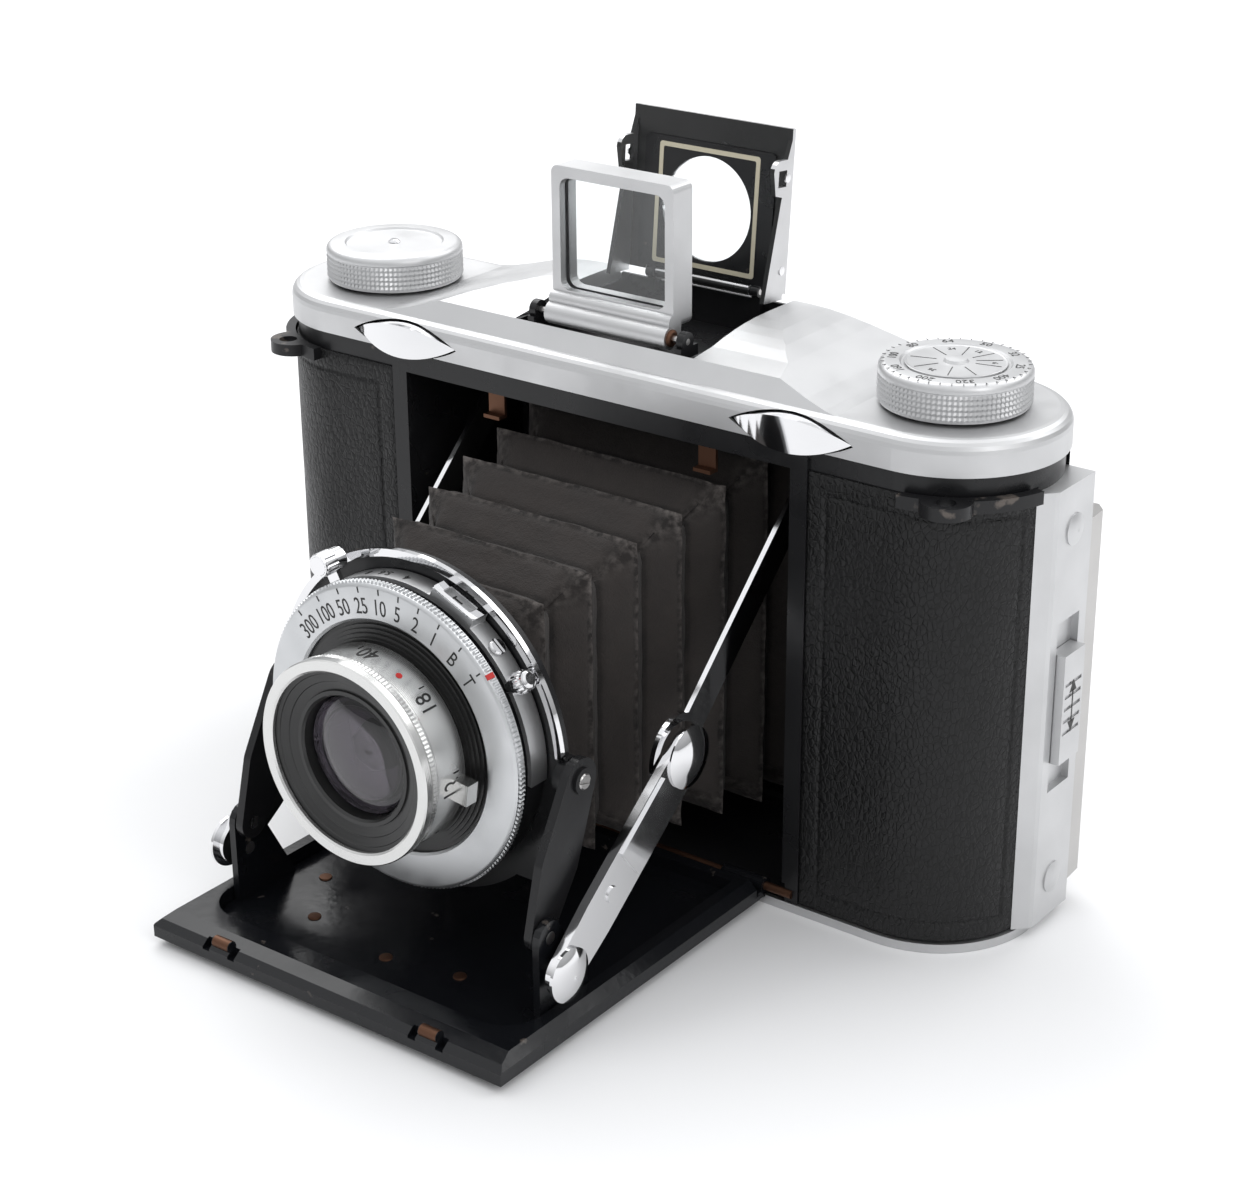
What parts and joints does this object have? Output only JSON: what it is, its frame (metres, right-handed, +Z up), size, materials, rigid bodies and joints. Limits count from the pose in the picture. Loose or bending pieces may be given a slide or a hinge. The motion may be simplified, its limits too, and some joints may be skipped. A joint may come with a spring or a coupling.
{
  "type": "folding roll film camera",
  "caption": "Self-erecting folding camera for 6 x 6 cm roll film with drop bed, bellows, between-lens shutter and folding optical finder.",
  "frame": {"origin": "on the underside of the base, at the lens axis in X and at the film spool axes in Y", "axes": "+Z up, the lens looks along -Y, +X to the viewer's right when facing the lens"},
  "size_m": [0.1488, 0.1039, 0.1149],
  "materials": {
    "black_enamel": "stoved black enamel, semi gloss",
    "satin_chrome": "satin chrome plate",
    "bright_chrome": "bright chrome plate",
    "leather": "black grained leather",
    "bellows_cloth": "dark rubberised cloth",
    "glass": "ground and coated glass",
    "black_anodised": "matt black anodised",
    "satin_aluminium": "satin turned aluminium",
    "steel": "plain steel",
    "worn_brass": "brass with worn black paint",
    "red_plastic": "clear red celluloid",
    "brass": "nickelled brass"
  },
  "bodies": {
    "root": {"body_shell": "black_enamel", "film_gate": "black_enamel", "base_plate": "satin_chrome", "tripod_bush": "brass", "leather_left": "leather", "leather_right": "leather", "top_cover": "satin_chrome", "strap_lugs": "black_enamel", "latch_plate": "satin_chrome", "latch_rivets": "satin_chrome", "back_hinge_pin": "steel", "film_rollers": "steel", "finder_well": "black_enamel", "finder_pins": "steel", "door_hinge_rod": "worn_brass", "door_hooks": "worn_brass", "strut_pins": "steel", "bellows": "bellows_cloth"},
    "latch": {"latch_slider": "satin_chrome"},
    "back": {"back_door": "black_enamel", "back_leather": "leather", "back_catch": "steel", "pressure_plate": "black_enamel", "pressure_spring": "steel", "red_window": "red_plastic"},
    "window_cover": {"window_cover": "bright_chrome"},
    "wind": {"wind_knob": "satin_chrome", "takeup_spool": "black_enamel"},
    "feed": {"feed_knob": "satin_chrome", "feed_spool": "black_enamel"},
    "disc": {"reminder_disc": "satin_chrome"},
    "release": {"release_button": "bright_chrome"},
    "opener": {"door_button": "bright_chrome"},
    "finder_front": {"finder_front_frame": "satin_chrome", "finder_front_glass": "glass"},
    "finder_rear": {"finder_rear_panel": "satin_chrome", "finder_eye_lens": "glass"},
    "door": {"front_door": "black_enamel", "door_leather": "leather", "door_pan": "black_enamel", "ear_pins": "steel"},
    "strut_lower": {"strut_lower_left": "bright_chrome", "strut_lower_right": "bright_chrome", "strut_caps": "bright_chrome"},
    "strut_upper": {"strut_upper_left": "bright_chrome", "strut_upper_right": "bright_chrome"},
    "link": {"link_left": "black_enamel", "link_right": "black_enamel"},
    "standard": {"standard_plate": "black_enamel", "standard_hoop": "bright_chrome", "shutter_case": "black_anodised", "shutter_band": "satin_chrome", "flash_socket": "bright_chrome", "stepped_ring": "black_anodised"},
    "speed": {"speed_ring": "satin_chrome"},
    "cocking": {"cocking_lever": "bright_chrome"},
    "focus": {"focus_ring": "satin_aluminium", "lens_rim": "satin_aluminium", "name_cone": "black_anodised", "lens_glass": "glass"}
  },
  "joints": [
    {"name": "door_hinge", "type": "hinge", "parent": "root", "child": "door", "pos_m": [0, -0.0173, 0.003], "axis": [-1, 0, 0], "range_deg": [0, 90], "deforming": ["bellows"]},
    {"name": "strut_lower_pivot", "type": "hinge", "parent": "door", "child": "strut_lower", "pos_m": [0, -0.0666, 0.011], "axis": [-1, 0, 0], "range_deg": [0, 13]},
    {"name": "strut_upper_pivot", "type": "hinge", "parent": "root", "child": "strut_upper", "pos_m": [0, -0.0007, 0.0686], "axis": [-1, 0, 0], "range_deg": [-54.3, 0]},
    {"name": "link_pivot", "type": "hinge", "parent": "door", "child": "link", "pos_m": [0, -0.06686, 0.01611], "axis": [-1, 0, 0], "range_deg": [0, 47.3]},
    {"name": "standard_pivot", "type": "hinge", "parent": "link", "child": "standard", "pos_m": [0, -0.05736, 0.03697], "axis": [-1, 0, 0], "range_deg": [-137.4, 0]},
    {"name": "focus_turn", "type": "hinge", "parent": "standard", "child": "focus", "pos_m": [0, -0.0583, 0.0382], "axis": [0, -1, 0], "range_deg": [-200, 0]},
    {"name": "speed_turn", "type": "hinge", "parent": "standard", "child": "speed", "pos_m": [0, -0.0583, 0.0382], "axis": [0, -1, 0], "range_deg": [-40, 110]},
    {"name": "cocking_swing", "type": "hinge", "parent": "standard", "child": "cocking", "pos_m": [0, -0.0583, 0.0382], "axis": [0, -1, 0], "range_deg": [-30, 0], "stiffness_Nm_per_rad": 0.002},
    {"name": "back_hinge", "type": "hinge", "parent": "root", "child": "back", "pos_m": [-0.0722, 0.0074, 0.038], "axis": [0, 0, 1], "range_deg": [0, 110]},
    {"name": "window_cover_slide", "type": "hinge", "parent": "back", "child": "window_cover", "pos_m": [0.02, 0.02, 0.0292], "axis": [0, 1, 0], "range_deg": [0, 80]},
    {"name": "latch_slide", "type": "slide", "parent": "root", "child": "latch", "axis": [0, 0, 1], "range_m": [-0.004, 0.004]},
    {"name": "wind_turn", "type": "hinge", "parent": "root", "child": "wind", "pos_m": [0.0545, 0, 0.08], "axis": [0, 0, 1], "continuous": true},
    {"name": "feed_turn", "type": "hinge", "parent": "root", "child": "feed", "pos_m": [-0.0545, 0, 0.08], "axis": [0, 0, 1], "continuous": true},
    {"name": "disc_turn", "type": "hinge", "parent": "wind", "child": "disc", "pos_m": [0.0545, 0, 0.089], "axis": [0, 0, 1], "continuous": true},
    {"name": "release_press", "type": "slide", "parent": "root", "child": "release", "axis": [0, 1, 0], "range_m": [0, 0.0008], "stiffness_N_per_m": 400},
    {"name": "opener_press", "type": "slide", "parent": "root", "child": "opener", "axis": [0, 1, 0], "range_m": [0, 0.0008], "stiffness_N_per_m": 400},
    {"name": "finder_front_fold", "type": "hinge", "parent": "root", "child": "finder_front", "pos_m": [0, -0.0116, 0.0876], "axis": [-1, 0, 0], "range_deg": [0, 90]},
    {"name": "finder_rear_fold", "type": "hinge", "parent": "root", "child": "finder_rear", "pos_m": [0, 0.0136, 0.0886], "axis": [1, 0, 0], "range_deg": [0, 50]}
  ],
  "couplings": [
    {"joint": "strut_lower_pivot", "follows": "door_hinge", "ratio": 0.14289},
    {"joint": "strut_upper_pivot", "follows": "door_hinge", "ratio": -0.60263},
    {"joint": "link_pivot", "follows": "door_hinge", "ratio": 0.525},
    {"joint": "standard_pivot", "follows": "door_hinge", "ratio": -1.525}
  ]
}
